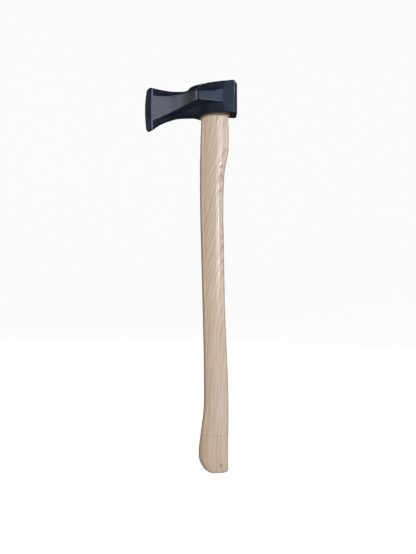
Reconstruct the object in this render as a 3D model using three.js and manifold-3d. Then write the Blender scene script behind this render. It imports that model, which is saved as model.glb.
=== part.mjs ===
// Splitting maul: a forged head with a raised splitting ramp on each cheek, hung on an
// ash handle whose tenon is spread in the eye by a wooden wedge and two steel wedges.
//
// Millimetres, +Z up. The origin is on the flat of the butt, under the middle of the eye.
// The bit points to -X, the poll to +X, and the maul is the same on both sides of Y = 0.

import * as THREE from 'three';
import { mergeVertices } from 'three/addons/utils/BufferGeometryUtils.js';
import Module from 'manifold-3d';

const wasm = await Module();
wasm.setup();

// ---- Driving dimensions -------------------------------------------------------------

const LENGTH = 700;            // flat of the butt to the highest point of the head
const HEAD_LENGTH = 165.4;     // cutting edge to poll face
const POLL_X = 40;             // poll face, from the middle of the eye
const POLL_WIDTH = 50;         // across the parallel cheeks of the poll
const CREST_WIDTH = 58;        // across the crests of the two ramps, the widest place
const EYE_LENGTH = 52;         // eye at both of its mouths, along X
const EYE_WIDTH = 26;          // and across it
const EYE_PINCH = 0.8;         // how far the eye narrows on every side at its waist
const EYE_WAIST = LENGTH - 31.5;   // height of the waist
const GAP = 0.3;               // between pieces that touch
const OVER = 20;               // how far a cutting shape stands out of what it cuts

// The head, along X
const EDGE_X = POLL_X - HEAD_LENGTH;
const BEVEL_X = EDGE_X + 12;   // end of the bevel, start of the ground ramp
const CREST_X = -31.3;         // top of the ramp
const CREST_LAND = 2.9;        // flat on the crest
const PLANE_X = 14;            // the tapering cheeks reach the poll's full width here

// The bit
const EDGE_HALF = 0.7;         // half of the blunt edge's thickness
const BEVEL_HALF = 5;          // half of the thickness at the end of the bevel
const HEEL = { bow: 204, corner: 8 };    // edge's radius and corner above its middle
const BEARD = { bow: 300, corner: 4.5 };   // and below it
const BOW_REACH = 28;          // the edge's bow fades out over this length

// Roundings
const TOP_RIM = 3;             // along the head's long top corners
const BOTTOM_RIM = 1.5;        // and along its bottom corners
const POLL_ROUND = 5.5;        // length of the rounding round the poll face
const POLL_INSET = { top: 5, side: 3, bottom: 1 };
const FACET_SLOPE = 0.95;      // height of a ramp's side for each millimetre of its depth
const FACET_LEAST = 0.8;       // height of that side where the ramp has no depth

// The tenon's sawn top, the shoulder under the head, and the wedges
const TENON_TOP = LENGTH - 2.85;   // its height on the eye's centre line
const TENON_SLOPE = 0.1;
const SHOULDER = { neck: 24.8, flare: 2.3, height: 6 };   // of the wood under the head
const WOODEN_WEDGE = { length: 50, depth: 42, top: 5.6, bottom: 1.6 };
const STEEL_WEDGE = { width: 20, depth: 26, top: 3.2, bottom: 0.8, offset: 13 };

// ---- Curves -------------------------------------------------------------------------

// A smooth curve through a few points [x, value], with no overshoot between them: the
// tangent at a point is the harmonic mean of the slopes on its two sides.
function smooth(points) {
  const slopes = points.slice(1).map(([x, v], i) => (v - points[i][1]) / (x - points[i][0]));
  const tangents = points.map((_, i) => {
    const before = slopes[Math.max(i - 1, 0)];
    const after = slopes[Math.min(i, slopes.length - 1)];
    return before * after > 0 ? 2 * before * after / (before + after) : 0;
  });
  tangents[0] = slopes[0];
  tangents[points.length - 1] = slopes[slopes.length - 1];
  return (x) => {
    const inside = THREE.MathUtils.clamp(x, points[0][0], points[points.length - 1][0]);
    const i = Math.max(points.findIndex(([end]) => inside <= end), 1) - 1;
    const width = points[i + 1][0] - points[i][0];
    const t = (inside - points[i][0]) / width;
    const rise = t * t * (3 - 2 * t);
    return points[i][1] * (1 - rise) + points[i + 1][1] * rise
      + width * t * (1 - t) * ((1 - t) * tangents[i] - t * tangents[i + 1]);
  };
}

const between = (x, x0, x1, v0, v1) => THREE.MathUtils.mapLinear(x, x0, x1, v0, v1);

// ---- Outline of the head: heights are given as the drop below the highest point -------

// Top: down from the bit's heel, a low waist, a short step up to the eye, then the poll.
const topCurve = smooth([
  [-114.4, 9], [-96, 13.6], [-69, 18.8], [-56, 20.3], [-51, 20.2], [-47, 18.2], [-44, 13.5],
  [-41, 11.5], [-26, 6.9], [-8, 3.6], [13, 1.7], [25, 1], [32, 0], [35, 1.1], [POLL_X, 4.5]]);

// Bottom: up from the bit's beard, level to the eye, a small lip in front of it, the poll.
const bottomCurve = smooth([
  [-122, 86.6], [-119, 88.4], [-115.4, 86.6], [-109.6, 82.9], [-100, 76], [-89.8, 71],
  [-78.7, 66.9], [-67.5, 63.6], [-52.5, 62], [-38, 61.3], [-31, 62.3], [-26, 63.7], [-17, 60],
  [-9, 58.3], [5, 57.3], [34, 57.6]]);

function headTop(x) {
  const corner = Math.max(-114.4 - x, 0);
  return LENGTH - topCurve(x) - HEEL.corner + Math.sqrt(HEEL.corner ** 2 - corner ** 2);
}

const headBottom = (x) => LENGTH - bottomCurve(x);

// Half-width of the cheeks: the bevel, the taper behind it, the parallel poll.
const cheekTaper = smooth([
  [BEVEL_X, BEVEL_HALF], [-65, 11], [-48, 14], [-30, 17.6], [0, 22.8],
  [PLANE_X, POLL_WIDTH / 2]]);

function cheekHalf(x) {
  if (x < BEVEL_X) {
    const along = (x - EDGE_X) / (BEVEL_X - EDGE_X);
    return EDGE_HALF + (BEVEL_HALF - EDGE_HALF) * along ** 0.85;
  }
  return cheekTaper(x);
}

// Half-width over the ramp, its crest, and the fin that runs down from it to the poll.
function rampHalf(x) {
  const crest = CREST_WIDTH / 2;
  if (x < BEVEL_X) return cheekHalf(x);
  if (x < CREST_X) return between(x, BEVEL_X, CREST_X, BEVEL_HALF, crest);
  if (x < CREST_X + CREST_LAND) return crest;
  if (x < PLANE_X) return between(x, CREST_X + CREST_LAND, PLANE_X, crest, POLL_WIDTH / 2);
  return POLL_WIDTH / 2;
}

// Drop of the ramp's lower and upper edges below the highest point.
const rampLow = (x) => (x < CREST_X
  ? between(x, BEVEL_X, CREST_X, 69.2, 35.2)
  : between(Math.min(x, PLANE_X), CREST_X, PLANE_X, 35.2, 38.5));
const rampHigh = smooth([
  [BEVEL_X, 24.8], [-75, 26.6], [CREST_X, 22.5], [-27, 21], [PLANE_X, 16]]);

// How far the cutting edge curves back at a height t, from -1 at the beard to 1 at the heel:
// a shallow arc, and then half of the corner's rounding.
function edgeBow(t) {
  const { bow, corner } = t > 0 ? HEEL : BEARD;
  const halfHeight = (headTop(EDGE_X + 6) - headBottom(EDGE_X + 6)) / 2;
  const rise = Math.abs(t) * halfHeight;
  const turn = Math.max(rise - halfHeight + corner * Math.SQRT1_2, 0);
  return rise ** 2 / (2 * bow) + corner - Math.sqrt(corner ** 2 - turn ** 2);
}

// ---- The head -----------------------------------------------------------------------

// Points from a to b without a itself.
function steps(a, b, count) {
  return Array.from({ length: count }, (_, i) => {
    const t = (i + 1) / count;
    return [a[0] + (b[0] - a[0]) * t, a[1] + (b[1] - a[1]) * t];
  });
}

// A quarter circle about a centre, from one angle to the next.
function quarter(y, z, radius, from, count) {
  return Array.from({ length: count + 1 }, (_, i) => {
    const angle = from + (Math.PI / 2) * (i / count);
    return [y + radius * Math.cos(angle), z + radius * Math.sin(angle)];
  });
}

// One half of the head's section, [y, z], from the middle of its underside, round the
// bottom corner, over the ramp and round the top corner to the middle of its top. The
// section is bowed with the cutting edge, so its two ends lie at their own place along X.
function halfSection(x, ends, inset) {
  const top = headTop(ends.top) - POLL_INSET.top * inset;
  const bottom = headBottom(ends.bottom) + POLL_INSET.bottom * inset;
  const cheek = cheekHalf(x) - POLL_INSET.side * inset;
  const ramp = Math.max(rampHalf(x) - POLL_INSET.side * inset, cheek);
  const topRim = Math.min(TOP_RIM, cheek * 0.6);
  const bottomRim = Math.min(BOTTOM_RIM, cheek * 0.6);
  const side = Math.max((ramp - cheek) * FACET_SLOPE, FACET_LEAST);
  const low = LENGTH - rampLow(x);
  const high = LENGTH - rampHigh(x);
  const foot = Math.min(high + side, top - topRim - 0.5);
  const footHalf = Math.max(cheek, ramp - (ramp - cheek) * (foot - high) / side);
  const lowFoot = [cheek, Math.max(low - side, bottom + bottomRim + 0.5)];
  const corner = quarter(cheek - bottomRim, bottom + bottomRim, bottomRim, -Math.PI / 2, 3);
  const rimTop = quarter(footHalf - topRim, top - topRim, topRim, 0, 3);
  return [
    [0, bottom], ...corner,
    ...steps(corner[3], lowFoot, 2),
    [ramp, low],
    ...steps([ramp, low], [ramp, high], 6),
    [footHalf, foot],
    ...rimTop, [0, top]];
}

// Where the head is cut into sections: close together at the step, the crest and the poll.
function headStations() {
  const along = [
    0, 3, 7.5, 12, 15, 20, 27, 35, 43, 51, 59, 66, 71, 75, 78.5, 82, 86, 90.5, 94.9, 97.8, 101,
    106, 112, 118, 124, 130, 135, 139.4, 145, 152, 159.4];
  const body = along.map((distance) => ({ x: EDGE_X + distance, inset: 0 }));
  const rounding = [1, 2, 3, 4].map((i) => {
    const angle = (Math.PI / 2) * (i / 4);
    return { x: POLL_X - POLL_ROUND * (1 - Math.sin(angle)), inset: 1 - Math.cos(angle) };
  });
  return [...body, ...rounding];
}

function headRing({ x, inset }) {
  const fade = Math.max(1 - (x - EDGE_X) / BOW_REACH, 0) ** 2;
  const ends = { top: x + edgeBow(1) * fade, bottom: x + edgeBow(-1) * fade };
  const half = halfSection(x, ends, inset);
  const [bottom, top] = [half[0][1], half[half.length - 1][1]];
  const place = ([y, z]) => {
    const t = between(z, bottom, top, -1, 1);
    return new THREE.Vector3(x + edgeBow(t) * fade, y, z);
  };
  const right = half.map(place);
  const left = half.slice(1, -1).reverse().map(([y, z]) => place([-y, z]));
  return [...right, ...left];
}

// ---- Meshes and booleans --------------------------------------------------------------

// Skin over a row of rings with the same number of points. The two ends are closed with
// strips between the mirrored points i and n - i of the end rings.
function loft(rings) {
  const count = rings[0].length;
  const index = [];
  const quad = (a, b, c, d) => index.push(a, b, c, a, c, d);
  for (let r = 0; r + 1 < rings.length; r += 1) {
    for (let i = 0; i < count; i += 1) {
      const next = (i + 1) % count;
      quad(r * count + i, r * count + next, (r + 1) * count + next, (r + 1) * count + i);
    }
  }
  const last = (rings.length - 1) * count;
  for (let i = 0; i < count / 2; i += 1) {
    const [a, b] = [i, i + 1];
    const [c, d] = [(count - i - 1) % count, (count - i) % count];
    if (d !== a) index.push(a, d, c, last + a, last + c, last + d);
    if (b !== c) index.push(a, c, b, last + a, last + b, last + c);
  }
  const geometry = new THREE.BufferGeometry();
  const positions = rings.flat().flatMap((point) => point.toArray());
  geometry.setAttribute('position', new THREE.Float32BufferAttribute(positions, 3));
  geometry.setIndex(index);
  return facingOut(geometry);
}

function volumeOf(geometry) {
  const [a, b, c] = [new THREE.Vector3(), new THREE.Vector3(), new THREE.Vector3()];
  const position = geometry.getAttribute('position');
  const { array } = geometry.getIndex();
  let total = 0;
  for (let i = 0; i < array.length; i += 3) {
    a.fromBufferAttribute(position, array[i]);
    b.fromBufferAttribute(position, array[i + 1]);
    c.fromBufferAttribute(position, array[i + 2]);
    total += a.dot(b.cross(c)) / 6;
  }
  return total;
}

function facingOut(geometry) {
  if (volumeOf(geometry) < 0) {
    const { array } = geometry.getIndex();
    for (let i = 0; i < array.length; i += 3) {
      [array[i + 1], array[i + 2]] = [array[i + 2], array[i + 1]];
    }
  }
  return geometry;
}

function solidOf(geometry) {
  const merged = mergeVertices(geometry, 1e-4);
  return new wasm.Manifold(new wasm.Mesh({
    numProp: 3,
    vertProperties: new Float32Array(merged.getAttribute('position').array),
    triVerts: new Uint32Array(merged.getIndex().array),
  }));
}

function geometryOf(solid) {
  const mesh = solid.getMesh();
  const geometry = new THREE.BufferGeometry();
  geometry.setAttribute('position', new THREE.BufferAttribute(mesh.vertProperties, 3));
  geometry.setIndex(new THREE.BufferAttribute(mesh.triVerts, 1));
  return geometry;
}

function cut(geometry, ...tools) {
  const solid = tools.reduce((rest, tool) => rest.subtract(solidOf(tool)), solidOf(geometry));
  return geometryOf(solid);
}

// An oval ring, squarer than an ellipse, from the +X end round over +Y. The front half and
// the back half may have different lengths; height gives each point its z.
function ovalRing({ front, back, half, square = 2.3, height }, count = 36) {
  return Array.from({ length: count }, (_, i) => {
    const angle = (2 * Math.PI * i) / count;
    const [c, s] = [Math.cos(angle), Math.sin(angle)];
    const reach = c > 0 ? back : front;
    const x = reach * Math.sign(c) * Math.abs(c) ** (2 / square);
    const y = half * Math.sign(s) * Math.abs(s) ** (2 / square);
    return new THREE.Vector3(x, y, height(x));
  });
}

// ---- Eye and tenon --------------------------------------------------------------------

const sawnTop = (x) => TENON_TOP + TENON_SLOPE * x;

// The eye's opening, less a clearance, where it is narrowed by a share of its pinch.
function eyeRing(share, clearance, height) {
  const grow = -EYE_PINCH * share - clearance;
  const reach = EYE_LENGTH / 2 + grow;
  return ovalRing({ front: reach, back: reach, half: EYE_WIDTH / 2 + grow, height });
}

function eyeCutter() {
  const below = eyeRing(0, 0, (x) => headBottom(x) - OVER);
  const bottom = eyeRing(0, 0, headBottom);
  const waist = eyeRing(1, 0, () => EYE_WAIST);
  const top = eyeRing(0, 0, sawnTop);
  const above = eyeRing(0, 0, (x) => sawnTop(x) + OVER);
  return loft([below, bottom, waist, top, above]);
}

function headGeometry() {
  return cut(loft(headStations().map(headRing)), eyeCutter());
}

// ---- The handle -----------------------------------------------------------------------

// Reach of the handle in front of (bit side) and behind the eye's centre line, and half of
// its thickness, at each height: a rounded knob at the butt, a slim grip, a swell at the back
// below the head.
const handleFront = smooth([
  [0, 10], [5, 17.8], [12, 22.7], [19, 26.3], [28, 28.4], [41, 28.1], [62, 25.8], [84, 22.9],
  [106, 20.2], [127, 19.1], [200, 19.4], [270, 20.9], [344, 22.8], [400, 24.2], [455, 25.6],
  [520, 26.3], [567, 26.3], [611, 25.6], [632, 24.7]]);
const handleBack = smooth([
  [0, 21.5], [1.5, 23.8], [5, 24.8], [12, 24.6], [40, 24.3], [84, 25.1], [110, 25.2],
  [163, 24.3], [236, 21.3], [308, 18.6], [380, 17.3], [430, 16.6], [455, 15.9], [488, 15.9],
  [524, 17.2], [539, 18.3], [553, 20.7], [567, 23.5], [582, 25.5], [611, 25.8], [632, 24.7]]);
const handleHalf = smooth([
  [0, 13], [1.5, 14.2], [5, 15], [14, 15.4], [28, 15.5], [62, 15.2], [110, 14.2], [200, 13.6],
  [400, 13.6], [540, 13.8], [611, 13.4], [632, 12.9]]);

const shoulder = (x) => headBottom(x) - GAP;

function handleRings() {
  const heights = [
    0, 0.7, 1.8, 4, 7, 11, 16, 22, 30, 40, 52, 66, 82, 100, 120, 150, 185, 225, 265, 305, 345,
    385, 425, 460, 490, 512, 526, 540, 554, 568, 582, 600, 615, 625];
  const body = heights.map((z) => ovalRing({
    front: handleFront(z), back: handleBack(z), half: handleHalf(z), height: () => z }));
  const flared = [0, 0.5, 1].map((up) => {
    const reach = SHOULDER.neck + (EYE_LENGTH / 2 + SHOULDER.flare - SHOULDER.neck) * up ** 2;
    return ovalRing({
      front: reach,
      back: reach,
      half: reach - (EYE_LENGTH - EYE_WIDTH) / 2,
      height: (x) => shoulder(x) - SHOULDER.height * (1 - up) });
  });
  const foot = eyeRing(0, GAP, shoulder);
  const waist = eyeRing(1, GAP, () => EYE_WAIST);
  const top = eyeRing(0, GAP, sawnTop);
  return [...body, ...flared, foot, waist, top];
}

// A wedge standing point down under the sawn top, its length along X and its taper across
// Y. With a clearance, and standing out of the top, it cuts its own slot.
function taperedWedge({ length, depth, top, bottom }, clearance, over) {
  const level = (thick, drop) => {
    const [reach, half] = [length / 2 + clearance, thick / 2 + clearance];
    const corners = [[reach, half], [-reach, half], [-reach, -half], [reach, -half]];
    return corners.map(([x, y]) => new THREE.Vector3(x, y, sawnTop(x) - drop));
  };
  const grow = (top - bottom) * over / depth;
  return loft([level(bottom, depth + clearance), level(top + grow, -over)]);
}

// The kerf is sawn right through the tenon, so it is longer than its wedge.
const kerf = () => taperedWedge({ ...WOODEN_WEDGE, length: 2 * EYE_LENGTH }, GAP, OVER);

// A steel wedge stands across the wooden one: its width along Y, its taper along X.
function steelWedge(side, clearance, over) {
  const { width, depth, top, bottom, offset } = STEEL_WEDGE;
  const centre = side * offset;
  const level = (thick, drop) => {
    const [reach, half] = [thick / 2 + clearance, width / 2 + clearance];
    const corners = [[reach, half], [-reach, half], [-reach, -half], [reach, -half]];
    return corners.map(([x, y]) => (
      new THREE.Vector3(centre + x, y, sawnTop(centre) - drop)));
  };
  const grow = (top - bottom) * over / depth;
  return loft([level(bottom, depth + clearance), level(top + grow, -over)]);
}

const steelSlots = () => [steelWedge(-1, GAP, OVER), steelWedge(1, GAP, OVER)];

const handleGeometry = () => cut(loft(handleRings()), kerf(), ...steelSlots());

const woodenWedgeGeometry = () => cut(taperedWedge(WOODEN_WEDGE, 0, 0), ...steelSlots());

// ---- Assembly -------------------------------------------------------------------------

const paint = new THREE.MeshStandardMaterial({ color: 0x2b323f, roughness: 0.42, metalness: 0.1 });
const ash = new THREE.MeshStandardMaterial({ color: 0xcdb8a3, roughness: 0.45, metalness: 0 });
const beech = new THREE.MeshStandardMaterial({ color: 0xb9926c, roughness: 0.6, metalness: 0 });
const steel = new THREE.MeshStandardMaterial({ color: 0x8a8c90, roughness: 0.4, metalness: 1 });

const group = new THREE.Group();

function add(name, geometry, material) {
  const mesh = new THREE.Mesh(geometry, material);
  mesh.name = name;
  group.add(mesh);
}

add('head', headGeometry(), paint);
add('handle', handleGeometry(), ash);
add('wooden_wedge', woodenWedgeGeometry(), beech);
add('steel_wedge_front', steelWedge(-1, 0, 0), steel);
add('steel_wedge_rear', steelWedge(1, 0, 0), steel);

export default group;
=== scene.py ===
"""Splitting maul: the finished look of the head, the ash handle and the wedges in its eye.

Lengths are millimetres in the shape code and become metres when a mesh is made. The origin
is on the flat of the butt under the middle of the eye, the bit points to -X and +Z is up.
"""

import math

import bmesh
import bpy
import numpy as np
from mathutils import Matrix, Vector


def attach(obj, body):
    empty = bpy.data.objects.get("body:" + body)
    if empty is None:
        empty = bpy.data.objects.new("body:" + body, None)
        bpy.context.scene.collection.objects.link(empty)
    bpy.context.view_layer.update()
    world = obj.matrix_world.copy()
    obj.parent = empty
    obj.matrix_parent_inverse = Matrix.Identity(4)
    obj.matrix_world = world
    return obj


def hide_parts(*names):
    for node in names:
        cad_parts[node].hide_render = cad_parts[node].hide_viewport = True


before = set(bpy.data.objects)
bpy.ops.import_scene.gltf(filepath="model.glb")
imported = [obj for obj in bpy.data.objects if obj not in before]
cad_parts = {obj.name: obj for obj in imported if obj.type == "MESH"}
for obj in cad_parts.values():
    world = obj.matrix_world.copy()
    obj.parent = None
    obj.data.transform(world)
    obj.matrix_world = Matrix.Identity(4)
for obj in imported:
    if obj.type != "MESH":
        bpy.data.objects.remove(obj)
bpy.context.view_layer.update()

MM = 0.001                     # metres in a millimetre
MERGE = 0.01                   # points closer than this are one

# ---- Driving dimensions -----------------------------------------------------------------
# They are the CAD model's, apart from CREST_FALL, SIDE_CHAMFER and the bottom of POLL_INSET,
# which the finished mesh has by itself.

LENGTH = 700.0                 # flat of the butt to the highest point of the head
HEAD_LENGTH = 165.4            # cutting edge to poll face
POLL_X = 40.0                  # poll face, from the middle of the eye
POLL_WIDTH = 50.0
CREST_WIDTH = 58.0             # across the crests of the two ramps
EYE_LENGTH = 52.0
EYE_WIDTH = 26.0
EYE_PINCH = 0.8                # how far the eye narrows on every side at its waist
EYE_SQUARE = 2.3               # exponent of every oval section, 2 being an ellipse
GAP = 0.3                      # between pieces that touch

EDGE_X = POLL_X - HEAD_LENGTH
BEVEL_X = EDGE_X + 12.0        # end of the bevel, start of the ground ramp
CREST_X = -31.3                # top of the ramp
CREST_LAND = 2.9               # painted band on the crest
CREST_FALL = 0.35              # by which it is lower where it meets the ramp
PLANE_X = 14.0                 # the tapering cheeks reach the poll's width here
EDGE_HALF = 0.7
BEVEL_HALF = 5.0
HEEL = {"bow": 204.0, "corner": 8.0, "x": -114.4}
BEARD = {"bow": 300.0, "corner": 4.5}
BOW_REACH = 28.0               # behind the edge, where sections are straight again
BOW_HEIGHT_AT = 6.0            # behind the edge, where the bow's height is taken

TOP_RIM = 3.0
BOTTOM_RIM = 1.5
POLL_ROUND = 5.5               # along X, on the poll's top and bottom
SIDE_CHAMFER = 5.1             # along X, on the poll's sides
POLL_INSET = {"top": 5.0, "side": 3.0, "bottom": 0.6}
FACET_SLOPE = 0.95             # height of a ramp's side, for how far it stands out
FACET_LEAST = 0.8

TENON_TOP = LENGTH - 2.85
TENON_SLOPE = 0.1
NECK = {"reach": 24.8, "flare": 2.3, "height": 6.0}
WOODEN_WEDGE = {"length": 50.0, "depth": 42.0, "top": 5.6, "bottom": 1.6}
STEEL_WEDGE = {"length": 20.0, "depth": 26.0, "top": 3.2, "bottom": 0.8, "offset": 13.0}
SLOT_OVER = 20.0               # how far a slot's cutter stands out of the top

# Roundings that only the finished mesh has
EYE_RIM = 1.0                  # round both mouths of the eye
CREASE = 0.7                   # along the ramp's lower edge
SHOULDER_CUT = 2.2             # and along its softer upper edge
FILLET = 3.5                   # in the hollow at the foot of a ramp's side
FACE_RIM = 0.8                 # round the poll face
SOFTENING = {"cheek": 0.5, "ramp": 0.6, "ramp_low": 1.5, "chamfer": 0.9}   # half windows

# Worn steel and painted highlight: added to the distance from a crease; more of it, a fainter line
WEAR_AND_HIGHLIGHT_OFFSET = {"ramp": 0.25, "fin": -0.05, "poll": 0.55}
BEVEL_BAND = {"middle": 0.9, "half": 1.0}    # worn strip and painted highlight, from the bevel line towards +X
FAR = 9.0                      # a distance at which nothing shows
GRIND_RISE = 33.5              # of the ramp's fine lines, from the bevel to the crest

# Marks on the ash
RING_WIDTH = 7.2               # one year's growth, along X
RING_TURN = 0.96               # how far the rings go along X, for one across the handle
LEAN = 160.0                   # the rings' shift along X where the lean curve would reach 1
LEAN_TOP = 0.69                # and what the curve ends at
CROSS_MARK_Z = 68.0
KNOT = {"x": 11.7, "z": 14.0, "half_width": 3.0, "half_height": 3.2}

# The studio, in metres and watts
COVE = {"floor": 3.2, "bend": 1.5, "wall": 6.0, "turns": 96}
CAMERA = {"place": (-0.0117, -1.307, 0.3502), "lens": 47.1, "sensor": 36}
MIDDLE = (0, 0, 0.45)          # what the lights face
WORLD_LIGHT = 0.045            # from all round

# ---- Curves ---------------------------------------------------------------------------


def smooth(points):
    """A curve through points (x, value) that never overshoots them: cubic pieces whose
    tangent at a point is the harmonic mean of the slopes on its two sides, or none at a
    turning point."""
    xs, values = np.array(points, float).T
    slopes = np.diff(values) / np.diff(xs)
    product = slopes[:-1] * slopes[1:]
    total = np.where(product > 0, slopes[:-1] + slopes[1:], 1)
    inner = np.where(product > 0, 2 * product / total, 0)
    tangents = np.concatenate([slopes[:1], inner, slopes[-1:]])

    def curve(x):
        inside = np.clip(x, xs[0], xs[-1])
        i = np.clip(np.searchsorted(xs, inside) - 1, 0, len(slopes) - 1)
        width = xs[i + 1] - xs[i]
        t = (inside - xs[i]) / width
        rise = t * t * (3 - 2 * t)
        bend = (1 - t) * tangents[i] - t * tangents[i + 1]
        return values[i] * (1 - rise) + values[i + 1] * rise + width * t * (1 - t) * bend

    return curve


def softened(curve, x, reach):
    """The curve's mean over a short window round x, so that each kink becomes a bend."""
    return np.mean([curve(x + offset) for offset in np.linspace(-reach, reach, 9)], axis=0)


def straight(x, points):
    """Straight lines through points (x, value), level beyond the first and the last."""
    xs, values = np.array(points, float).T
    return np.interp(x, xs, values)


# ---- Outline of the head: heights are the drop below the highest point ------------------
# The top line is the CAD model's. The finished mesh departs from it in three places: the
# ramp's upper edge is up to 2.8 mm higher near the crest, its lower edge up to 1.7 mm lower
# at its middle, and the underside of the poll up to 1.1 mm lower. The box is the same.

top_curve = smooth([
    (HEEL["x"], 9), (-96, 13.6), (-69, 18.8), (-56, 20.3), (-51, 20.2), (-47, 18.2),
    (-44, 13.5), (-41, 11.5), (-26, 6.9), (-8, 3.6), (13, 1.7), (25, 1), (32, 0),
    (35, 1.1), (POLL_X, 4.5)])

bottom_curve = smooth([
    (-122, 86.6), (-119, 88.4), (-115.4, 86.6), (-109.6, 82.9), (-100, 76), (-89.8, 71),
    (-78.7, 66.9), (-67.5, 63.6), (-52.5, 62), (-38, 61.3), (-31, 62.3), (-26, 63.7),
    (-17, 60), (-9, 58.3), (5, 57.3), (22, 57.6), (34, 58.3), (POLL_X, 58.7)])

cheek_taper = smooth([
    (BEVEL_X, BEVEL_HALF), (-65, 11), (-48, 14), (-30, 17.6), (0, 22.6), (9, 23.9),
    (18, POLL_WIDTH / 2 - 0.1), (25, POLL_WIDTH / 2)])

ramp_high = smooth([
    (BEVEL_X, 24.2), (-79, 26.9), (-61, 25.8), (-43.5, 22.3), (CREST_X, 19.8), (-8, 19),
    (PLANE_X, 16)])

ramp_low = smooth([
    (BEVEL_X, 69.8), (-75, 55), (CREST_X - 1, 36.8), (CREST_X + CREST_LAND, 35.4), (-8, 36.3),
    (PLANE_X, 39.2)])


def head_top(x):
    """Height of the top line, which a circle rounds down at the heel."""
    corner = np.maximum(HEEL["x"] - x, 0)
    return LENGTH - top_curve(x) - HEEL["corner"] + np.sqrt(HEEL["corner"] ** 2 - corner ** 2)


def head_bottom(x):
    """Height of the underside."""
    return LENGTH - bottom_curve(x)


def cheek_half(x):
    """Half-width of the cheeks: a nose as round as the edge is thick, the bevel, the taper
    behind it, the parallel poll."""
    along = np.clip((x - EDGE_X) / (BEVEL_X - EDGE_X), 0, 1)
    bevel = EDGE_HALF + (BEVEL_HALF - EDGE_HALF) * along ** 0.85
    nose = np.clip((x - EDGE_X) / EDGE_HALF, 0, 1)
    bevel = bevel * np.sqrt(1 - (1 - nose) ** 2)
    return np.where(x < BEVEL_X, bevel, cheek_taper(x))


def ramp_half(x):
    """Half-width over the ramp, its crest, and the fin that runs from it to the poll."""
    crest = CREST_WIDTH / 2
    over = straight(x, [
        (BEVEL_X, BEVEL_HALF), (CREST_X, crest - CREST_FALL), (CREST_X + CREST_LAND, crest),
        (PLANE_X, POLL_WIDTH / 2)])
    return np.where(x < BEVEL_X, cheek_half(x), over)


def edge_bow(t):
    """How far the cutting edge curves back at a height t, from -1 at the beard to 1 at the
    heel: a shallow arc, and then half of the corner's rounding."""
    behind = EDGE_X + BOW_HEIGHT_AT
    half_height = (head_top(behind) - head_bottom(behind)) / 2
    bow = np.where(t > 0, HEEL["bow"], BEARD["bow"])
    corner = np.where(t > 0, HEEL["corner"], BEARD["corner"])
    rise = np.abs(t) * half_height
    turn = np.maximum(rise - half_height + corner * math.sqrt(0.5), 0)
    return rise ** 2 / (2 * bow) + corner - np.sqrt(corner ** 2 - turn ** 2)


# ---- Meshes -----------------------------------------------------------------------------


def rounded_path(corners, cuts, arc_steps, line_steps):
    """Paths with rounded corners. corners is stations x points x 2, and cuts is how far
    from each inner corner its rounding starts, at most 0.45 of the shorter side. Each
    rounding is a quadratic curve that leans on the corner, and the rest is straight."""
    before = corners[:, :-2] - corners[:, 1:-1]
    after = corners[:, 2:] - corners[:, 1:-1]
    length_before = np.linalg.norm(before, axis=2) + 1e-9
    length_after = np.linalg.norm(after, axis=2) + 1e-9
    cut = np.minimum(cuts, 0.45 * np.minimum(length_before, length_after))
    start = corners[:, 1:-1] + before * (cut / length_before)[..., None]
    end = corners[:, 1:-1] + after * (cut / length_after)[..., None]
    pieces = []
    here = corners[:, 0]
    for i, steps in enumerate(line_steps):
        last = i == len(line_steps) - 1
        there = corners[:, -1] if last else start[:, i]
        t = np.linspace(0, 1, steps, endpoint=False)[None, :, None]
        pieces.append(here[:, None] * (1 - t) + there[:, None] * t)
        if last:
            pieces.append(there[:, None])
            break
        t = np.linspace(0, 1, arc_steps, endpoint=False)[None, :, None]
        corner = corners[:, i + 1][:, None]
        arc = (start[:, i][:, None] * (1 - t) ** 2 + corner * 2 * t * (1 - t)
               + end[:, i][:, None] * t ** 2)
        pieces.append(arc)
        here = end[:, i]
    return np.concatenate(pieces, axis=1)


def grid_faces(rows, columns, first=0, closed=False):
    """Quads of a grid of vertices stored row by row. A closed grid joins its last column
    to its first."""
    row = np.arange(rows - 1)[:, None]
    column = np.arange(columns if closed else columns - 1)[None, :]
    beside = (column + 1) % columns
    corners = [row * columns + column, row * columns + beside,
               (row + 1) * columns + beside, (row + 1) * columns + column]
    return first + np.stack(corners, axis=-1).reshape(-1, 4)


def make_mesh(name, vertices, faces, attributes=None):
    """A mesh object from points in millimetres: doubles closer than MERGE are joined, faces
    are turned outward, and attributes hold one number for each vertex."""
    mesh = bpy.data.meshes.new(name)
    mesh.from_pydata((vertices * MM).tolist(), [], faces.tolist())
    for key, values in (attributes or {}).items():
        layer = mesh.attributes.new(key, "FLOAT", "POINT")
        layer.data.foreach_set("value", values.astype(np.float32))
    work = bmesh.new()
    work.from_mesh(mesh)
    bmesh.ops.remove_doubles(work, verts=work.verts, dist=MERGE * MM)
    bmesh.ops.recalc_face_normals(work, faces=work.faces)
    work.to_mesh(mesh)
    work.free()
    mesh.validate()
    piece = bpy.data.objects.new(name, mesh)
    bpy.context.scene.collection.objects.link(piece)
    return piece


def shade(piece, degrees=32):
    """Smooth shading, with edges sharper than the angle kept crisp."""
    piece.data.shade_smooth()
    piece.data.set_sharp_from_angle(angle=math.radians(degrees))


def oval(angle, front, back, half):
    """Points of an oval that is squarer than an ellipse, by the angle round it."""
    c = np.cos(angle)
    s = np.sin(angle)
    reach = np.where(c > 0, back, front)
    power = 2 / EYE_SQUARE
    x = reach * np.sign(c) * np.abs(c) ** power
    y = half * np.sign(s) * np.abs(s) ** power
    return x, y


# ---- The head ---------------------------------------------------------------------------

EYE_STEPS = 84                 # stations along the eye


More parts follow.
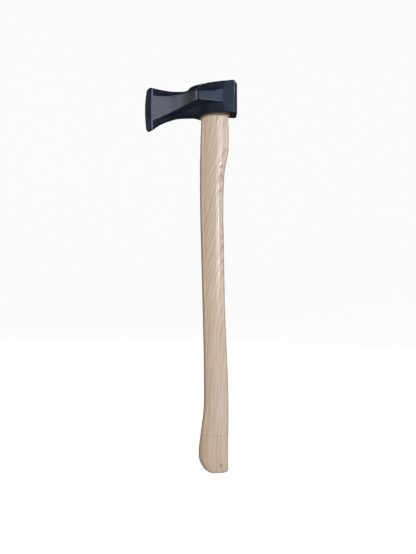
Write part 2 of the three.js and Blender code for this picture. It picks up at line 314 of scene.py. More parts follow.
def spaced(start, end, coarse, fine_at, fine):
    """Stations from start to end, coarse apart, and fine apart within 2 mm of fine_at."""
    stations = np.arange(start, end, coarse)
    near = [np.arange(x - 2, x + 2, fine) for x in fine_at]
    joined = np.sort(np.concatenate([stations, *near, [end]]))
    joined = joined[(joined >= start) & (joined <= end)]
    keep = np.concatenate([[True], np.diff(joined) > fine * 0.4])
    return joined[keep]


def head_stations():
    """X of each section, and which of them cross the eye."""
    reach = EYE_LENGTH / 2 + EYE_RIM
    nose = EDGE_X + EDGE_HALF * (1 - np.cos(np.linspace(0, math.pi / 2, 8)))
    bit = spaced(nose[-1] + 0.3, -reach - 0.6, 1.1, [BEVEL_X, CREST_X, CREST_X + CREST_LAND], 0.25)
    eye, _ = oval(np.linspace(math.pi, 0, EYE_STEPS), reach, reach, 1)
    poll = spaced(reach + 0.4, POLL_X - FACE_RIM, 0.9, [POLL_X - POLL_ROUND], 0.25)
    x = np.concatenate([nose, bit, eye, poll])
    first = len(nose) + len(bit)
    return x, slice(first, first + EYE_STEPS)


def poll_inset(x):
    """How much of the poll's rounding a section has: a quarter ellipse on the top and the
    bottom, a chamfer on the sides."""
    along = np.clip((x - POLL_X + POLL_ROUND) / POLL_ROUND, 0, 1)
    chamfer = softened(
        lambda v: np.maximum(v - POLL_X + SIDE_CHAMFER, 0), x, SOFTENING["chamfer"])
    return 1 - np.sqrt(1 - along ** 2), chamfer / SIDE_CHAMFER


def head_sections(x, inner):
    """Half of the section at each x, as stations x points x 3: from the inner end of the
    underside, round the bottom corner, up the cheek, over the ramp and round the top
    corner. Near the bit a section is bowed with the cutting edge. Also gives how far each
    point lies inside the ramp's ground face, and how far it is from a convex crease."""
    fade = np.maximum(1 - (x - EDGE_X) / BOW_REACH, 0) ** 2
    round_inset, side_inset = poll_inset(x)
    top = head_top(x + edge_bow(1.0) * fade) - POLL_INSET["top"] * round_inset
    bottom = head_bottom(x + edge_bow(-1.0) * fade) + POLL_INSET["bottom"] * round_inset
    cheek = softened(cheek_half, x, SOFTENING["cheek"]) - POLL_INSET["side"] * side_inset
    cheek = np.where(x < EDGE_X + 1, cheek_half(x), cheek)
    ramp = softened(ramp_half, x, SOFTENING["ramp"]) - POLL_INSET["side"] * side_inset
    ramp = np.maximum(np.where(x < EDGE_X + 1, cheek, ramp), cheek)
    side = np.maximum((ramp - cheek) * FACET_SLOPE, FACET_LEAST)
    low = LENGTH - softened(ramp_low, x, SOFTENING["ramp_low"])
    high = LENGTH - ramp_high(x)
    top_rim = np.minimum(TOP_RIM, cheek * 0.6)
    bottom_rim = np.minimum(BOTTOM_RIM, cheek * 0.6)
    foot = np.minimum(high + side, top - top_rim - 0.5)
    foot_half = np.maximum(cheek, ramp - (ramp - cheek) * (foot - high) / side)
    low_foot = np.maximum(low - side, bottom + bottom_rim + 0.5)
    corners = np.stack([
        np.stack([inner, bottom], 1), np.stack([cheek, bottom], 1),
        np.stack([cheek, low_foot], 1), np.stack([ramp, low], 1),
        np.stack([ramp, high], 1), np.stack([foot_half, foot], 1),
        np.stack([foot_half, top], 1), np.stack([inner, top], 1)], 1)
    one = np.ones_like(x)
    cuts = np.stack([bottom_rim, FILLET * one, CREASE * one, SHOULDER_CUT * one,
                     FILLET * 0.6 * one, top_rim], 1)
    path = rounded_path(corners, cuts, 6, [9, 10, 7, 26, 6, 7, 9])
    y, z = path[..., 0], path[..., 1]
    t = 2 * (z - bottom[:, None]) / (top - bottom)[:, None] - 1
    bowed = x[:, None] + edge_bow(t) * fade[:, None]
    return np.stack([bowed, y, z], -1), face_distances(x, z, low, high, ramp - cheek)


def face_distances(x, z, low, high, raised):
    """For each point: how far inside the ground face it lies, negative outside, and how
    far it is from the nearest convex crease, measured along X and Z. The creases are the
    bevel line, the crest, the lower edge of ramp and fin, and the poll's chamfer, where worn
    steel and a painted highlight show; to some of them an offset is added, so that their
    bright line is fainter."""
    along = x[:, None] + 0 * z
    inside = np.minimum(z - low[:, None], high[:, None] - z)
    inside = np.minimum(inside, np.minimum(along - BEVEL_X, CREST_X - along))
    to_bevel = np.abs(along - BEVEL_X - BEVEL_BAND["middle"]) - BEVEL_BAND["half"]
    to_crest = np.abs(along - CREST_X)
    between = (z > low[:, None]) & (z < high[:, None])
    to_crest = np.where(between, to_crest, FAR)
    standing = np.clip(raised / 1.2, 0, 1)[:, None]
    fin = np.clip((along - CREST_X - CREST_LAND) / 4, 0, 1)
    offset = WEAR_AND_HIGHLIGHT_OFFSET["ramp"] + (WEAR_AND_HIGHLIGHT_OFFSET["fin"] - WEAR_AND_HIGHLIGHT_OFFSET["ramp"]) * fin
    to_low = np.abs(z - low[:, None]) + offset + FAR * (1 - standing)
    to_poll = np.abs(along - POLL_X + SIDE_CHAMFER) + WEAR_AND_HIGHLIGHT_OFFSET["poll"]
    crease = np.minimum(np.minimum(to_bevel, to_crest), np.minimum(to_low, to_poll))
    return inside, crease


def poll_face(rim, levels=14):
    """Rings that close the poll: the last section shrinks to its middle, and comes forward
    on a quarter circle over the first FACE_RIM of the way."""
    centre = np.array([POLL_X, 0, (rim[0, 2] + rim[-1, 2]) / 2])
    first = 1 - FACE_RIM / (POLL_WIDTH / 2)
    scale = np.concatenate([
        first + (1 - first) * np.cos(np.linspace(0, math.pi / 2, 6))[1:],
        np.linspace(first, 0, levels)[1:]])
    share = np.clip((scale - first) / (1 - first), 0, 1)
    depth = FACE_RIM * (1 - np.sqrt(1 - share ** 2))
    rings = centre + (rim - centre) * scale[:, None, None]
    rings[..., 0] = (POLL_X - depth)[:, None]
    return rings


def eye_wall(levels=12):
    """Half of the eye's wall, as points round it x levels x 3, from its top mouth down: a
    quarter circle over the rim, the hourglass bore, and the lower rim."""
    angle = np.linspace(math.pi, 0, EYE_STEPS)
    turn = np.linspace(0, math.pi / 2, 6)
    rings = []

    def ring(grow, height):
        x, y = oval(angle, EYE_LENGTH / 2 + grow, EYE_LENGTH / 2 + grow, EYE_WIDTH / 2 + grow)
        rings.append(np.stack([x, y, height(x)], 1))

    for a in turn:
        ring(EYE_RIM * (1 - math.sin(a)), lambda x, a=a: head_top(x) - EYE_RIM * (1 - math.cos(a)))
    for share in np.linspace(0, 1, levels)[1:-1]:
        pinch = -EYE_PINCH * math.sin(math.pi * share)
        ring(pinch, lambda x, s=share: (head_top(x) - EYE_RIM) * (1 - s)
             + (head_bottom(x) + EYE_RIM) * s)
    for a in turn[::-1]:
        ring(EYE_RIM * (1 - math.sin(a)),
             lambda x, a=a: head_bottom(x) + EYE_RIM * (1 - math.cos(a)))
    return np.stack(rings, 1)


def build_head():
    """Both halves of the skin, closed by the poll face and the eye's wall. The poll face
    counts as far from creases, apart from its rim."""
    x, eye = head_stations()
    inner = np.zeros_like(x)
    reach = EYE_LENGTH / 2 + EYE_RIM
    _, mouth = oval(np.linspace(math.pi, 0, EYE_STEPS), reach, reach, EYE_WIDTH / 2 + EYE_RIM)
    inner[eye] = np.abs(mouth)
    skin, (inside, crease) = head_sections(x, inner)
    face = poll_face(skin[-1])
    skin = np.concatenate([skin, face])
    away = np.full(face.shape[:2], FAR)
    from_rim = np.linspace(0, FAR, len(face))[:, None] + 0 * away
    inside = np.concatenate([inside, -away])
    crease = np.concatenate([crease, from_rim])
    wall = eye_wall()
    away = np.full(wall.shape[:2], FAR)
    vertices = []
    faces = []
    ground = []
    to_crease = []
    count = 0
    for side in (1, -1):
        for grid, depth, distance in ((skin, inside, crease), (wall, -away, away)):
            rows, columns = grid.shape[:2]
            vertices.append(grid.reshape(-1, 3) * [1, side, 1])
            faces.append(grid_faces(rows, columns, count))
            ground.append(depth.ravel())
            to_crease.append(distance.ravel())
            count += rows * columns
    piece = make_mesh(
        "maul_head", np.concatenate(vertices), np.concatenate(faces),
        {"ground_mm": np.concatenate(ground), "crease_mm": np.concatenate(to_crease)})
    shade(piece)
    piece.data.materials.append(enamel())
    return piece


# ---- The handle -------------------------------------------------------------------------

handle_front = smooth([
    (0, 10), (5, 17.8), (12, 22.7), (19, 26.3), (28, 28.4), (41, 28.1), (62, 25.8),
    (84, 22.9), (106, 20.2), (127, 19.1), (200, 19.4), (270, 20.9), (344, 22.8), (400, 24.2),
    (455, 25.6), (520, 26.3), (567, 26.3), (611, 25.6), (632, 24.7)])
handle_back = smooth([
    (0, 21.5), (1.5, 23.8), (5, 24.8), (12, 24.6), (40, 24.3), (84, 25.1), (110, 25.2),
    (163, 24.3), (236, 21.3), (308, 18.6), (380, 17.3), (430, 16.6), (455, 15.9),
    (488, 15.9), (524, 17.2), (539, 18.3), (553, 20.7), (567, 23.5), (582, 25.5),
    (611, 25.8), (632, 24.7)])
handle_half = smooth([
    (0, 13), (1.5, 14.2), (5, 15), (14, 15.4), (28, 15.5), (62, 15.2), (110, 14.2),
    (200, 13.6), (400, 13.6), (540, 13.8), (611, 13.4), (632, 12.9)])

AROUND = 144                   # points round the handle
END_RINGS = 9                  # rings that close each of its ends


def shoulder(x):
    """Height of the shoulder under the head, which follows the underside."""
    return head_bottom(x) - GAP


def sawn_top(x):
    """Height of the tenon's sawn top, which rises towards the poll."""
    return TENON_TOP + TENON_SLOPE * x


def handle_rings():
    """The handle as rings x points x 3. Each ring is an oval whose front, back and
    thickness are smooth functions of its height. Under the head the ring flares to the
    shoulder, whose top follows the head's underside; then come the tenon, narrowed to the
    eye's waist, and its sawn top."""
    angle = np.arange(AROUND) * 2 * math.pi / AROUND
    rings = []

    def ring(front, back, half, height):
        x, y = oval(angle, front, back, half)
        rings.append(np.stack([x, y, height(x) + 0 * x], 1))

    for share in np.linspace(0, 1, END_RINGS)[:-1]:
        ring(share * handle_front(0.0), share * handle_back(0.0), share * handle_half(0.0),
             lambda x: 0.0)
    low = 14 * np.linspace(0, 1, 26) ** 1.6
    for z in np.concatenate([low, np.arange(low[-1] + 1.8, 625, 1.9)]):
        ring(handle_front(z), handle_back(z), handle_half(z), lambda x, z=z: z)
    for up in np.linspace(0, 1, 14):
        reach = NECK["reach"] + (EYE_LENGTH / 2 + NECK["flare"] - NECK["reach"]) * up ** 2
        ring(reach, reach, reach - (EYE_LENGTH - EYE_WIDTH) / 2,
             lambda x, up=up: shoulder(x) - NECK["height"] * (1 - up))
    for share in np.linspace(0, 1, 24):
        grow = -GAP - EYE_PINCH * math.sin(math.pi * share)
        ring(EYE_LENGTH / 2 + grow, EYE_LENGTH / 2 + grow, EYE_WIDTH / 2 + grow,
             lambda x, s=share: shoulder(x) * (1 - s) + sawn_top(x) * s)
    for share in np.linspace(1, 0, END_RINGS)[1:]:
        ring(share * (EYE_LENGTH / 2 - GAP), share * (EYE_LENGTH / 2 - GAP),
             share * (EYE_WIDTH / 2 - GAP), sawn_top)
    return np.stack(rings)


def tapered_block(size, centre, along_x, clearance=0.0, over=0.0):
    """A tapered block that stands point down under the sawn top: two rectangles, one above
    the other, joined corner to corner. With a clearance, and standing out of the top, it
    cuts its own slot. Gives its vertices and faces."""
    grow = (size["top"] - size["bottom"]) * over / size["depth"]
    reach = size["length"] / 2 + clearance
    sign = np.array([(1, 1), (-1, 1), (-1, -1), (1, -1)])
    levels = []
    for thick, rise in ((size["bottom"], -size["depth"] - clearance),
                        (size["top"] + grow, over)):
        half = thick / 2 + clearance
        x, y = (sign * [reach, half] if along_x else sign * [half, reach]).T
        x = x + centre
        level = sawn_top(x if along_x else centre + 0 * x) + rise
        levels.append(np.stack([x, y, level], 1))
    faces = [(3, 2, 1, 0), (4, 5, 6, 7), (0, 1, 5, 4), (1, 2, 6, 5), (2, 3, 7, 6), (3, 0, 4, 7)]
    return np.concatenate(levels), np.array(faces)


def steel_places():
    """Centre of each steel wedge along X, the front one first."""
    return {"front": -STEEL_WEDGE["offset"], "rear": STEEL_WEDGE["offset"]}


def cut(piece, blocks):
    """Takes blocks, each its vertices and faces, out of a piece."""
    for vertices, faces in blocks:
        cutter = make_mesh("cutter", vertices, faces)
        modifier = piece.modifiers.new("slot", "BOOLEAN")
        modifier.operation = "DIFFERENCE"
        modifier.solver = "EXACT"
        modifier.object = cutter
        apply_modifiers(piece)
        bpy.data.objects.remove(cutter)


def apply_modifiers(piece):
    """Replaces a piece's mesh by the one its modifiers make, and removes them."""
    bpy.context.view_layer.update()
    evaluated = piece.evaluated_get(bpy.context.evaluated_depsgraph_get())
    finished = bpy.data.meshes.new_from_object(evaluated)
    piece.modifiers.clear()
    piece.data = finished


def steel_slots():
    """Cutters for the two slots that the steel wedges fill."""
    return [tapered_block(STEEL_WEDGE, centre, False, GAP, SLOT_OVER)
            for centre in steel_places().values()]


def build_handle():
    """The handle, with the kerf and the slots of its wedges cut into the tenon."""
    rings = handle_rings()
    rows, columns = rings.shape[:2]
    points = rings.reshape(-1, 3)
    below_head = shoulder(points[:, 0]) - points[:, 2]
    end = np.zeros((rows, columns))
    end[:END_RINGS - 1] = 1
    end[-(END_RINGS - 1):] = 1
    piece = make_mesh("maul_handle", points, grid_faces(rows, columns, closed=True),
                      {"below_head_mm": below_head, "end_grain": end.ravel()})
    kerf = dict(WOODEN_WEDGE, length=2 * EYE_LENGTH)
    cut(piece, [tapered_block(kerf, 0.0, True, GAP, SLOT_OVER), *steel_slots()])
    shade(piece)
    piece.data.materials.append(ash_wood())
    return piece


def build_wedge(name, block, slots, bevel, material):
    """A wedge with its edges slightly broken, flush with the sawn top."""
    piece = make_mesh(name, *block)
    cut(piece, slots)
    edge = piece.modifiers.new("broken_edges", "BEVEL")
    edge.width = bevel * MM
    edge.segments = 3
    edge.limit_method = "ANGLE"
    apply_modifiers(piece)
    shade(piece)
    piece.data.materials.append(material)
    return piece


# ---- Shader maths -----------------------------------------------------------------------


class Field:
    """A value that varies over a surface. Sums and products of it add Math nodes."""

    def __init__(self, finish, socket):
        self.finish = finish
        self.socket = socket

    def math(self, operation, *others):
        node = self.finish.add("ShaderNodeMath", {"operation": operation}, [self, *others])
        return Field(self.finish, node.outputs[0])

    def __add__(self, other):
        return self.math("ADD", other)

    __radd__ = __add__

    def __sub__(self, other):
        return self.math("SUBTRACT", other)

    def __rsub__(self, other):
        return self * -1 + other

    def __mul__(self, other):
        return self.math("MULTIPLY", other)

    __rmul__ = __mul__

    def __truediv__(self, other):
        return self.math("DIVIDE", other)

    def step(self, low, high):
        """0 below low, 1 above high and a soft step between; low may be the larger."""
        node = self.finish.add(
            "ShaderNodeMapRange", {"interpolation_type": "SMOOTHSTEP"},
            {"Value": self, "From Min": low, "From Max": high})
        return Field(self.finish, node.outputs["Result"])


class Finish:
    """A material under construction on the Principled shader."""

    def __init__(self, name, **constants):
        self.material = bpy.data.materials.new(name)
        self.material.use_nodes = True
        self.tree = self.material.node_tree
        self.tree.nodes.clear()
        self.shader = self.add("ShaderNodeBsdfPrincipled", {}, {
            key.replace("_", " "): value for key, value in constants.items()})
        output = self.add("ShaderNodeOutputMaterial")
        self.tree.links.new(self.shader.outputs[0], output.inputs["Surface"])

    def add(self, kind, settings=None, sockets=None):
        """Adds a node: its settings first, then a value or a link for each socket."""
        node = self.tree.nodes.new(kind)
        for key, value in (settings or {}).items():
            if key == "stops":
                self.set_stops(node.color_ramp, value)
            else:
                setattr(node, key, value)
        pairs = enumerate(sockets) if isinstance(sockets, list) else (sockets or {}).items()
        for key, value in pairs:
            self.put(node.inputs[key], value)
        return node

    def put(self, socket, value):
        if isinstance(value, Field):
            value = value.socket
        if isinstance(value, bpy.types.NodeSocket):
            self.tree.links.new(value, socket)
        else:
            socket.default_value = value

    @staticmethod
    def set_stops(ramp, stops):
        while len(ramp.elements) > 1:
            ramp.elements.remove(ramp.elements[-1])
        ramp.elements[0].position = stops[0][0]
        ramp.elements[0].color = stops[0][1]
        for position, colour in stops[1:]:
            ramp.elements.new(position).color = colour

    def position(self):
        """Object coordinates in millimetres, as three fields."""
        source = self.add("ShaderNodeTexCoord")
        scaled = self.add("ShaderNodeVectorMath", {"operation": "SCALE"},
                          {"Vector": source.outputs["Object"], "Scale": 1 / MM})
        parts = self.add("ShaderNodeSeparateXYZ", {}, [scaled.outputs[0]])
        return [Field(self, parts.outputs[i]) for i in range(3)]

    def vector(self, x, y, z):
        return self.add("ShaderNodeCombineXYZ", {}, [x, y, z]).outputs[0]

    def attribute(self, name):
        node = self.add("ShaderNodeAttribute", {"attribute_name": name})
        return Field(self, node.outputs["Fac"])

    def noise(self, vector, scale=1.0, detail=2.0, roughness=0.5):
        """Fractal noise about 0.5, at the scale of one blob for each unit."""
        node = self.add("ShaderNodeTexNoise", {}, {
            "Vector": vector, "Scale": scale, "Detail": detail, "Roughness": roughness})
        return Field(self, node.outputs["Fac"])

    def mix(self, amount, first, second):
        """A colour between two, by an amount."""
        node = self.add("ShaderNodeMix", {"data_type": "RGBA"})
        self.put(node.inputs["Factor"], amount)
        self.put(node.inputs[6], first)
        self.put(node.inputs[7], second)
        return node.outputs[2]

    def relief(self, height, distance):
        """Turns a height field in units of distance, in millimetres, into bumps."""
        node = self.add("ShaderNodeBump", {}, {
            "Height": height, "Distance": distance * MM, "Strength": 1.0})
        self.set(Normal=node.outputs["Normal"])

    def set(self, **sockets):
        for key, value in sockets.items():
            self.put(self.shader.inputs[key.replace("_", " ")], value)


def rgb(r, g, b):
    """A colour from its screen values, 0 to 255, made linear."""
    screen = np.array([r, g, b]) / 255
    linear = np.where(screen <= 0.04045, screen / 12.92, ((screen + 0.055) / 1.055) ** 2.4)
    return (*linear.tolist(), 1.0)


# ---- Finishes ---------------------------------------------------------------------------


def ground_steel(finish, x, y, z):
    """Colour of the bare ramp, and its fine lines, which slope like its lower edge. A painted
    reflection grades it from pale at the bevel to dark before the crest, and a painted
    highlight makes it bright on the crest."""
    slope = math.atan2(GRIND_RISE, CREST_X - BEVEL_X)
    along = x * math.cos(slope) + z * math.sin(slope)
    across = z * math.cos(slope) - x * math.sin(slope)
    lines = finish.noise(finish.vector(along / 70, across / 0.6, y / 30), 1.0, 4.0, 0.6)
    cloud = finish.noise(finish.vector(along / 30, across / 12, y / 30))
    # Painted reflection: the steel is graded from pale at the bevel to dark before the crest.
    painted_reflection_ramp = finish.add("ShaderNodeValToRGB", {"stops": [
        (0.0, rgb(184, 190, 208)), (0.38, rgb(182, 187, 207)), (0.48, rgb(166, 169, 188)),
        (0.62, rgb(174, 179, 194)), (0.78, rgb(127, 133, 139)), (0.88, rgb(108, 114, 119)),
        (1.0, rgb(136, 143, 149))]}, {"Fac": (x - BEVEL_X) / (CREST_X - BEVEL_X)})
    steel = finish.mix(lines.step(0.35, 0.68) * 0.35, painted_reflection_ramp.outputs["Color"], rgb(104, 107, 116))
    steel = finish.mix(cloud.step(0.5, 0.75) * 0.35, steel, rgb(112, 115, 124))
    # Painted highlight: a bright strip of steel just before the crest.
    steel = finish.mix((x - CREST_X).step(-2.2, -1.0), steel, rgb(190, 194, 204))
    return steel, lines


def enamel():
    """Dark satin enamel on forged steel, with the ramps ground bare. Steel shows where the depth
    inside the ground face plus noise is positive, and about half where the distance from a
    crease plus noise is under half a millimetre; on the creases it is partly worn enamel and
    partly a painted highlight. The poll's chamfer and face are painted near black as painted
    shade, and are rougher. Paint and steel share roughness and relief by its amount."""
    finish = Finish("enamel_and_ground_steel", Coat_Roughness=0.35, IOR=1.55,
                    Specular_Tint=(0.50, 0.64, 1.0, 1.0))
    x, y, z = finish.position()
    ground = finish.attribute("ground_mm")
    crease = finish.attribute("crease_mm")
    here = finish.vector(x, y, z)
    blotch = finish.noise(here, 1 / 22, 3.0, 0.55)
    fine = finish.noise(here, 1 / 2.2, 3.0, 0.6)
    peel = finish.noise(here, 1 / 1.1, 1.0)
    forged = finish.noise(here, 1 / 11) * 1.3 + finish.noise(here, 1 / 4.5) * 0.55

    # Painted shade: the poll's chamfer and face are painted near black; they are also rougher.
    poll_end_shade = (x - POLL_X + POLL_ROUND).step(0.6, 1.6)
    paint = finish.mix(blotch.step(0.3, 0.7), rgb(16, 19, 28), rgb(30, 35, 48))
    paint = finish.mix(fine.step(0.62, 0.74) * 0.3, paint, rgb(56, 63, 76))
    paint = finish.mix(poll_end_shade * 0.8, paint, rgb(12, 13, 17))
    steel, lines = ground_steel(finish, x, y, z)

    rag = (fine - 0.5) * 1.6
    bare_face = (ground + rag * 0.7).step(0.0, 0.6)
    # Bright steel on the creases: partly worn enamel, partly a painted highlight along each
    # crease.
    rubbed_and_highlit = (crease + rag * 0.9 + (blotch - 0.5) * 2.0).step(0.75, 0.25)
    rubbed_and_highlit = rubbed_and_highlit * (crease.step(0.3, -0.4) * 0.22 + 0.5)
    bare = bare_face.math("MAXIMUM", rubbed_and_highlit)
    painted = 1 - bare
    paint_rough = blotch * 0.22 + fine * 0.12 + poll_end_shade * 0.22 + 0.23
    steel_rough = lines * 0.16 + 0.36
    finish.set(Base_Color=finish.mix(bare, paint, steel), Metallic=bare)
    finish.set(Roughness=paint_rough * painted + steel_rough * bare)
    finish.set(Coat_Weight=painted * 0.12)
    finish.relief(painted * (peel * 0.16 + forged) + bare * lines * 0.10, 0.22)
    return finish.material


def ring_lean(finish, z):
    """How far the rings have leaned along X at a height: hardly near the butt, faster up
    the handle, and no further in its last eighth. It is LEAN times a curve of the share of
    the length."""
    node = finish.add("ShaderNodeFloatCurve", {}, {"Value": z / LENGTH})
    curve = node.mapping.curves[0]
    curve.points[0].location = (0.0, 0.0)
    curve.points[1].location = (1.0, LEAN_TOP)
    for place in ((0.25, 0.005), (0.35, 0.04), (0.45, 0.12), (0.60, 0.31), (0.75, 0.53),
                  (0.84, 0.67), (0.88, LEAN_TOP)):
        curve.points.new(*place)
    node.mapping.update()
    return Field(finish, node.outputs[0]) * LEAN


def cross_mark(finish, z, slow, fade, wood):
    """A faint wavering line across the grain near the butt."""
    mark = (z - CROSS_MARK_Z + (slow - 0.5) * 14).math("ABSOLUTE").step(3.6, 0.0)
    return finish.mix(mark * fade.step(0.35, 0.6) * 0.15, wood, rgb(140, 114, 96))


def pin_knot(finish, x, y, z, mid, wood):
    """A small knot on the near flank: a dark ragged ring round a paler heart, by the
    distance from its middle in units of its half sizes."""
    across = (x - KNOT["x"]) / KNOT["half_width"]
    up = (z - KNOT["z"]) / KNOT["half_height"]
    far_flank = y.step(0, 4) * FAR
    out = (across * across + up * up).math("SQRT") + far_flank + (mid - 0.5) * 0.8
    wood = finish.mix(out.step(1.3, 0.95) * 0.5, wood, rgb(126, 98, 78))
    return finish.mix(out.step(0.85, 0.6) * 0.7, wood, rgb(190, 164, 140))


def ash_wood():
    """Lacquered ash. A ring field says which year's growth a point lies in: X, less a turn
    across the handle, less the lean at its height, plus noise; the fraction of it over the
    ring width is the place within a year. Each ring starts with a dark band of open pores
    and ends in pale dense wood. Long streaks are golden, the front is warmer, and just under
    the head a thin dark band is partly the shaved lip and partly painted shade."""
    finish = Finish("lacquered_ash", Coat_Roughness=0.09, IOR=1.48, Coat_IOR=1.5)
    x, y, z = finish.position()
    below_head = finish.attribute("below_head_mm")
    end = finish.attribute("end_grain")

    slow = finish.noise(finish.vector(x / 30, y / 30, z / 150))
    mid = finish.noise(finish.vector(x / 9, y / 9, z / 60))
    fade = finish.noise(finish.vector(x / 12, y / 12, z / 70), 1.0, 2.0, 0.6)
    patch = finish.noise(finish.vector(x / 22, y / 22, z / 90), 1.0, 3.0, 0.5)
    rings = x - y * RING_TURN - ring_lean(finish, z) + (slow - 0.5) * 20 + (mid - 0.5) * 4.0
    around = x * RING_TURN + y
    width = finish.noise(finish.vector(rings / 18, 0.0, 0.0), 1.0, 1.0)
    phase = ((rings + (width - 0.5) * 16) / RING_WIDTH).math("FRACT")
    contrast = (fade.step(0.32, 0.62) * 0.8 + 0.2) * (z.step(160, 440) * 0.5 + 0.6)
    band = phase.step(0.0, 0.12) * phase.step(0.62, 0.14) * contrast
    pore_at = finish.vector(rings / 0.42, around / 0.42, z / 9)
    pores = finish.noise(pore_at, 1.0, 2.0, 0.6).step(0.52, 0.66)
    fibre = finish.noise(finish.vector(rings / 0.9, around / 0.9, z / 40), 1.0, 3.0, 0.65)
    streak = finish.noise(finish.vector(rings / 4.5, around / 12, z / 160), 1.0, 2.0, 0.6)

    wood = finish.mix(patch.step(0.35, 0.65), rgb(221, 202, 190), rgb(214, 197, 176))
    golden = streak.step(0.4, 0.64) * (z.step(480, 260) * 0.5 + 0.25)
    wood = finish.mix(golden, wood, rgb(208, 184, 154))
    front = (x + (patch - 0.5) * 10).step(-4, -24)
    wood = finish.mix(front * 0.8, wood, rgb(206, 176, 144))
    wood = finish.mix(fibre.step(0.35, 0.72) * 0.5, wood, rgb(198, 170, 146))
    wood = finish.mix(band * 0.5, wood, rgb(176, 144, 119))
    wood = finish.mix(pores * (band * 0.55 + 0.1), wood, rgb(134, 104, 84))
    wood = finish.mix(end * 0.35, wood, rgb(150, 122, 92))
    wood = cross_mark(finish, z, slow, fade, wood)
    wood = pin_knot(finish, x, y, z, mid, wood)
    # Painted shade under the head's underside, over the darker shaved lip of the shoulder.
    lip_and_shade_under_head = (below_head + (mid - 0.5) * 1.5).step(3.6, 2.2) * below_head.step(-0.6, 0.2)
    wood = finish.mix(lip_and_shade_under_head * 0.8, wood, rgb(108, 93, 87))
    finish.set(Base_Color=wood)
    finish.set(Roughness=fibre * 0.15 + band * 0.12 + 0.38 + end * 0.2)
    finish.set(Coat_Weight=below_head.step(1.0, 4.0) * 0.6 * (1 - end))
    finish.relief(pores * band * -1.0 - band * 0.25 + fibre * 0.2, 0.10)
    return finish.material


def wedge_wood():
    """Beech, cut with its grain upright: fine dark flecks on the sides, a sawn top."""
    finish = Finish("beech_wedge", IOR=1.45)
    x, y, z = finish.position()
    fibre = finish.noise(finish.vector(x / 1.2, y / 1.2, z / 30), 1.0, 3.0, 0.6)
    fleck = finish.noise(finish.vector(x / 0.5, y / 0.25, z / 3), 1.0, 2.0, 0.6)
    saw = finish.noise(finish.vector(x / 0.5, y / 14, 0.0), 1.0, 2.0, 0.5)
    wood = finish.mix(fibre.step(0.3, 0.7), rgb(186, 142, 102), rgb(160, 116, 80))
    wood = finish.mix(fleck.step(0.58, 0.7) * 0.6, wood, rgb(112, 76, 50))
    finish.set(Base_Color=wood, Roughness=fibre * 0.2 + 0.55)
    finish.relief(saw + fleck * 0.5, 0.15)
    return finish.material


def wedge_steel():
    """Mill-finished steel, dulled and dented on top by the hammer that drove it."""
    finish = Finish("hammered_steel", IOR=1.5)
    x, y, z = finish.position()
    here = finish.vector(x, y, z)
    cloud = finish.noise(here, 1 / 5.0, 3.0, 0.6)
    dents = finish.noise(here, 1 / 1.6, 1.0, 0.4)
    rust = finish.noise(here, 1 / 1.3, 4.0, 0.7).step(0.6, 0.72)
    metal = finish.mix(cloud.step(0.3, 0.7), rgb(150, 152, 156), rgb(112, 113, 116))
    metal = finish.mix(rust * 0.5, metal, rgb(104, 72, 52))
    finish.set(Base_Color=metal, Metallic=1 - rust * 0.6, Roughness=cloud * 0.25 + 0.28)
    finish.relief(dents, 0.3)
    return finish.material


# ---- Stage ------------------------------------------------------------------------------


def pale_paper():
    """An even pale surface that shines by itself, so that no light falls off on it."""
    finish = Finish("pale_paper", Roughness=0.95, Specular_IOR_Level=0.1, Emission_Strength=1.0)
    finish.set(Base_Color=(0.05, 0.05, 0.05, 1), Emission_Color=(0.95, 0.95, 0.95, 1))
    return finish.material


def build_stage():
    """A round cove: a profile of floor, quarter circle and wall, carried round the Z axis.
    Only the camera sees it, so that the undersides of the maul stay as dark as in air."""
    turn = np.linspace(0, math.pi / 2, 24)
    out = np.concatenate([[0.0], COVE["floor"] + COVE["bend"] * np.sin(turn)])
    rise = np.concatenate([[0.0], COVE["bend"] * (1 - np.cos(turn))])
    out = np.append(out, out[-1])
    rise = np.append(rise, COVE["wall"])
    angle = np.arange(COVE["turns"]) * 2 * math.pi / COVE["turns"]
    grid = np.stack([
        out[:, None] * np.cos(angle), out[:, None] * np.sin(angle),
        rise[:, None] + 0 * angle], -1)
    cove = make_mesh("studio_cove", grid.reshape(-1, 3) / MM,
                     grid_faces(*grid.shape[:2], closed=True))
    cove.data.flip_normals()
    cove.data.shade_smooth()
    cove.data.materials.append(pale_paper())
    cove.visible_diffuse = False
    cove.visible_glossy = False
    cove.visible_shadow = False


def add_panel(name, place, size, power, colour=(1, 1, 1), target=MIDDLE, glossy=True):
    """A soft rectangular light that faces a target. One that isn't glossy doesn't show in
    reflections."""
    lamp = bpy.data.lights.new(name, "AREA")
    lamp.shape = "RECTANGLE"
    lamp.size = size[0]
    lamp.size_y = size[1]
    lamp.energy = power
    lamp.color = colour
    panel = bpy.data.objects.new(name, lamp)
    panel.location = place
    direction = Vector(target) - Vector(place)
    panel.rotation_euler = direction.to_track_quat("-Z", "Y").to_euler()
    panel.visible_glossy = glossy
    bpy.context.scene.collection.objects.link(panel)


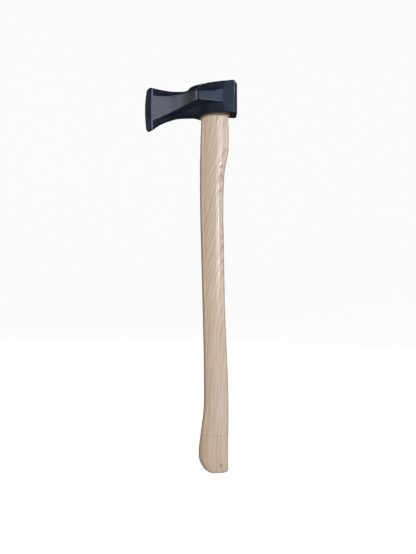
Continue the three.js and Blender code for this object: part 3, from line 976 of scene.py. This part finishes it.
def build_lights():
    """Large soft panels in front and at the sides, a narrow one for the streak of light
    along the handle, weaker ones behind and above, and a little light from all round."""
    add_panel("front_panel", place=(1.05, -2.6, 0.92), size=(1.3, 1.5), power=33,
              colour=(0.95, 0.98, 1.0))
    add_panel("right_window", place=(2.6, -0.15, 0.8), size=(1.2, 1.8), power=18,
              colour=(0.92, 0.97, 1.0))
    add_panel("right_strip", place=(0.98, -1.285, 0.53), size=(0.13, 0.40), power=5.5)
    add_panel("low_fill", place=(-0.1, -2.3, 0.10), size=(1.2, 0.5), power=16,
              target=(0, 0, 0.05), glossy=False)
    add_panel("rear_fill", place=(0.9, 2.3, 0.5), size=(1.4, 1.4), power=22, glossy=False)
    add_panel("left_fill", place=(-2.5, -0.9, 0.7), size=(1.2, 1.8), power=20)
    add_panel("overhead_panel", place=(0.2, 1.2, 2.4), size=(1.6, 1.2), power=3)
    add_panel("rear_panel", place=(-0.8, 2.6, 1.7), size=(1.6, 1.4), power=40)
    world = bpy.data.worlds.new("studio_air")
    world.use_nodes = True
    background = world.node_tree.nodes["Background"]
    background.inputs["Color"].default_value = (1, 1, 1, 1)
    background.inputs["Strength"].default_value = WORLD_LIGHT
    bpy.context.scene.world = world


def build_camera():
    """A level camera in front of the maul, which looks along +Y."""
    data = bpy.data.cameras.new("camera")
    data.lens = CAMERA["lens"]
    data.sensor_width = CAMERA["sensor"]
    camera = bpy.data.objects.new("camera", data)
    camera.location = CAMERA["place"]
    camera.rotation_euler = (math.pi / 2, 0, 0)
    bpy.context.scene.collection.objects.link(camera)
    bpy.context.scene.camera = camera


# ---- Assembly ---------------------------------------------------------------------------

bpy.context.scene.view_settings.view_transform = "Standard"

head = build_head()
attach(head, "root")
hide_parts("head")

handle = build_handle()
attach(handle, "root")
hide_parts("handle")

beech = wedge_wood()
steel = wedge_steel()
wooden = build_wedge("wooden_wedge_piece", tapered_block(WOODEN_WEDGE, 0.0, True),
                     steel_slots(), 0.3, beech)
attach(wooden, "root")
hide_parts("wooden_wedge")
for place, centre in steel_places().items():
    wedge = build_wedge("steel_wedge_piece_" + place, tapered_block(STEEL_WEDGE, centre, False),
                        [], 0.35, steel)
    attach(wedge, "root")
    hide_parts("steel_wedge_" + place)

build_stage()
build_lights()
build_camera()
